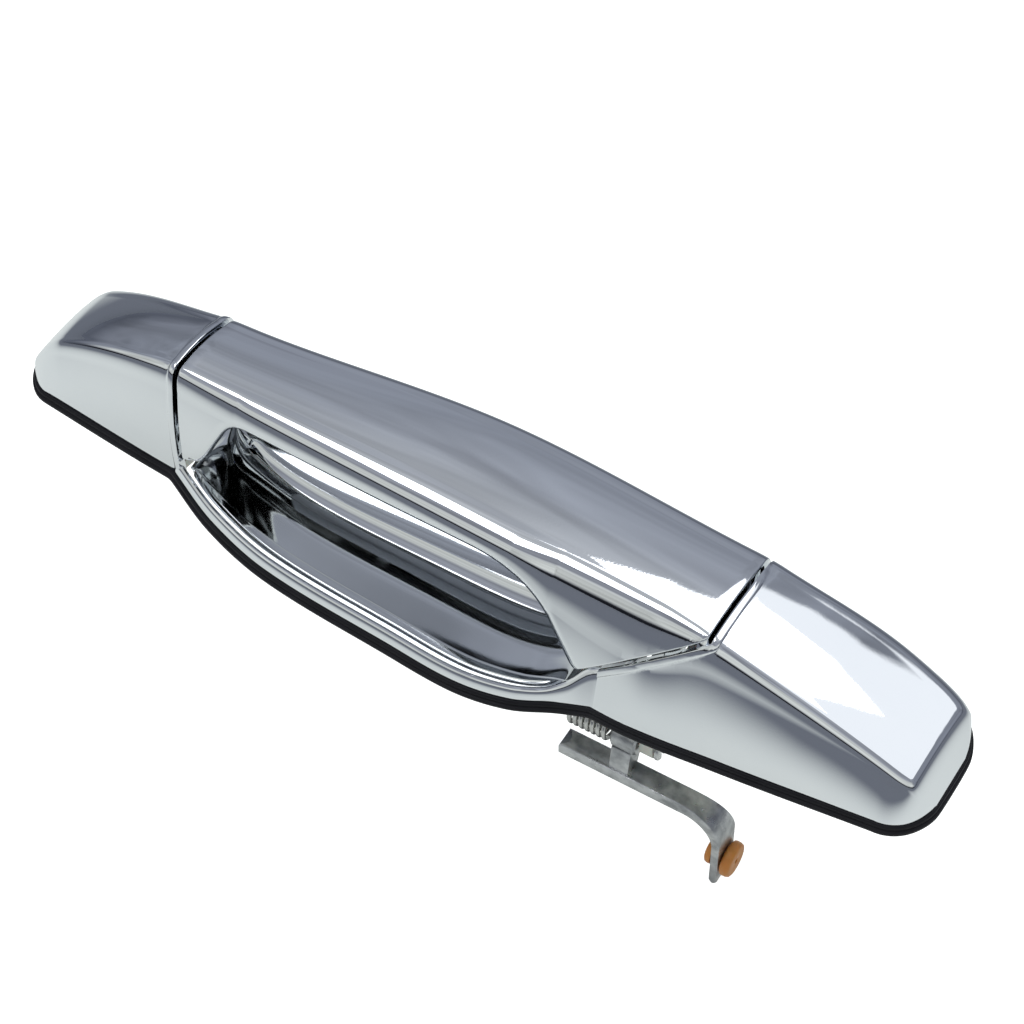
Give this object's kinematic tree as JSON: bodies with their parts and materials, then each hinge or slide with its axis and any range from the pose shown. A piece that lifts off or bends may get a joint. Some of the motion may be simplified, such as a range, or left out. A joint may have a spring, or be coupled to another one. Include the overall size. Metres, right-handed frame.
{
  "type": "car door handle",
  "caption": "Outside car door handle: chrome pull paddle between fixed chrome end caps over a finger cup, with a rubber gasket and a release lever with an orange rod clip behind.",
  "frame": {"origin": "on the door skin plane, under the gasket, half-way along the handle", "axes": "+Z straight out of the door, +Y up the door, +X along the handle towards the larger end cap"},
  "size_m": [0.2637, 0.0612, 0.097],
  "materials": {
    "chrome_shell": "mirror-bright chrome plating",
    "chrome_cup": "mirror-bright chrome plating",
    "chrome_paddle": "mirror-bright chrome plating",
    "gasket_rubber": "matt black moulded rubber",
    "stop_rubber": "matt black rubber",
    "frame_nylon": "natural nylon, satin",
    "bush_nylon": "natural nylon, smooth",
    "clip_nylon": "orange nylon, satin",
    "grip_plastic": "silver-grey painted plastic, satin",
    "cast_zinc": null,
    "lever_zinc": "die-cast zinc with bright and dull patches",
    "pin_steel": "plain turned steel",
    "spring_steel": "drawn spring wire",
    "zinc_plated": "zinc-plated steel fasteners"
  },
  "bodies": {
    "handle_body": {"bezel": "chrome_shell", "finger_cup": "chrome_cup", "gasket": "gasket_rubber", "base_frame": "frame_nylon", "front_hinge_pin": "pin_steel", "front_hinge_bush": "bush_nylon", "rear_hinge_pin": "pin_steel", "rear_hinge_bush": "bush_nylon", "paddle_spring": "spring_steel", "lever_pivot_pin": "pin_steel", "lever_bush": "bush_nylon", "lever_spring": "spring_steel", "pivot_clip": "pin_steel", "front_stop_bumper": "stop_rubber", "rear_stop_bumper": "stop_rubber", "front_mounting_stud": "zinc_plated", "rear_mounting_stud": "zinc_plated", "frame_screw_front_outer": "zinc_plated", "frame_screw_front_inner": "zinc_plated", "frame_screw_rear_inner": "zinc_plated", "frame_screw_rear_outer": "zinc_plated"},
    "paddle": {"paddle_shell": "chrome_paddle", "grip_plate": "grip_plastic", "paddle_carrier": "cast_zinc", "carrier_screw_front": "zinc_plated", "carrier_screw_rear": "zinc_plated"},
    "release_lever_body": {"release_lever": "lever_zinc"},
    "rod_clip_body": {"rod_clip": "clip_nylon"}
  },
  "joints": [
    {"name": "paddle_hinge", "type": "hinge", "parent": "handle_body", "child": "paddle", "pos_m": [0, 0.01, 0.0055], "axis": [-1, 0, 0], "range_deg": [0, 25], "stiffness_Nm_per_rad": 0.9, "springref_deg": -28.65},
    {"name": "lever_hinge", "type": "hinge", "parent": "handle_body", "child": "release_lever_body", "pos_m": [0.053, -0.019, -0.015], "axis": [1, 0, 0], "range_deg": [0, 25], "stiffness_Nm_per_rad": 0.05, "springref_deg": -28.65},
    {"name": "rod_clip_swivel", "type": "hinge", "parent": "release_lever_body", "child": "rod_clip_body", "pos_m": [0.082, -0.0209, -0.0462], "axis": [1, 0, 0], "range_deg": [-45, 45]}
  ],
  "couplings": [
    {"joint": "lever_hinge", "follows": "paddle_hinge", "ratio": 1}
  ]
}
